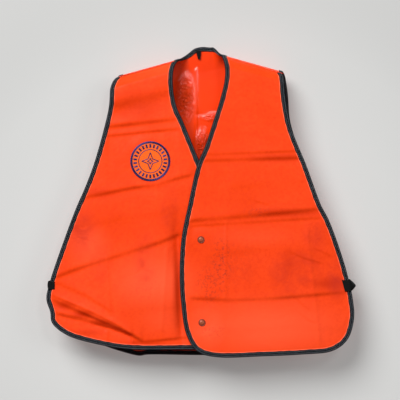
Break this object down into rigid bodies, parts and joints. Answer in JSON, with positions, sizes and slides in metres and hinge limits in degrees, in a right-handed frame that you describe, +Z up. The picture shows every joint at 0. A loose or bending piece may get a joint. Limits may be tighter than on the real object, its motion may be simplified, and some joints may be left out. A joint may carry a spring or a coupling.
{
  "type": "high visibility vest",
  "caption": "Open-sided fluorescent orange safety vest with dark bound edges, overlapping fronts that close with snaps, elastic side straps and a round chest patch",
  "frame": {"origin": "midway between the neck ends of the shoulders, where the vest hangs", "axes": "X to the wearer's left, Y towards the wearer's back, Z up"},
  "size_m": [0.618, 0.0938, 0.6242],
  "materials": {
    "orange_fabric": "coated, matte outside and shiny inside",
    "binding_tape": "woven",
    "elastic": "woven elastic",
    "snap_cap": "enamelled cap with a dark rim",
    "snap_metal": "darkened",
    "patch_ground": "twill",
    "patch_thread": "embroidered thread"
  },
  "bodies": {
    "back": {"back_panel": "orange_fabric", "left_shoulder": "orange_fabric", "right_shoulder": "orange_fabric", "back_neck_binding": "binding_tape", "back_hem_binding": "binding_tape", "back_left_binding": "binding_tape", "back_right_binding": "binding_tape", "left_side_elastic": "elastic", "right_side_elastic": "elastic"},
    "front": {"front_left_side": "orange_fabric", "front_right_side": "orange_fabric", "front_left_side_binding": "binding_tape", "front_right_side_binding": "binding_tape"},
    "left_flap": {"front_left_flap": "orange_fabric", "front_left_flap_binding": "binding_tape", "upper_snap_cap": "snap_cap", "lower_snap_cap": "snap_cap", "upper_snap_socket": "snap_metal", "lower_snap_socket": "snap_metal"},
    "right_flap": {"front_right_flap": "orange_fabric", "front_right_flap_binding": "binding_tape", "upper_snap_stud": "snap_metal", "lower_snap_stud": "snap_metal", "upper_snap_post": "snap_metal", "lower_snap_post": "snap_metal", "patch_ground": "patch_ground", "patch_border": "patch_thread", "patch_ring": "patch_thread", "patch_marks": "patch_thread", "patch_motif": "patch_thread"},
    "neck_loop": {"neck_loop": "binding_tape"}
  },
  "joints": [
    {"name": "front_lift", "type": "hinge", "parent": "back", "child": "front", "pos_m": [0, -0.036, -0.018], "axis": [-1, 0, 0], "range_deg": [0, 6], "deforming": ["left_side_elastic", "right_side_elastic"]},
    {"name": "left_front_fold", "type": "hinge", "parent": "front", "child": "left_flap", "pos_m": [0.051, -0.03765, -0.02379], "axis": [-0.5026, 0.0139, 0.8644], "range_deg": [0, 150]},
    {"name": "right_front_fold", "type": "hinge", "parent": "front", "child": "right_flap", "pos_m": [-0.054, -0.0321, -0.02408], "axis": [-0.5026, -0.0134, -0.8644], "range_deg": [0, 85]},
    {"name": "neck_loop_swing", "type": "hinge", "parent": "back", "child": "neck_loop", "pos_m": [-0.004, 0.0263, 0.018], "axis": [-1, 0, 0], "range_deg": [0, 80]}
  ],
  "couplings": [
    {"joint": "right_front_fold", "follows": "left_front_fold", "ratio": 0.55}
  ]
}
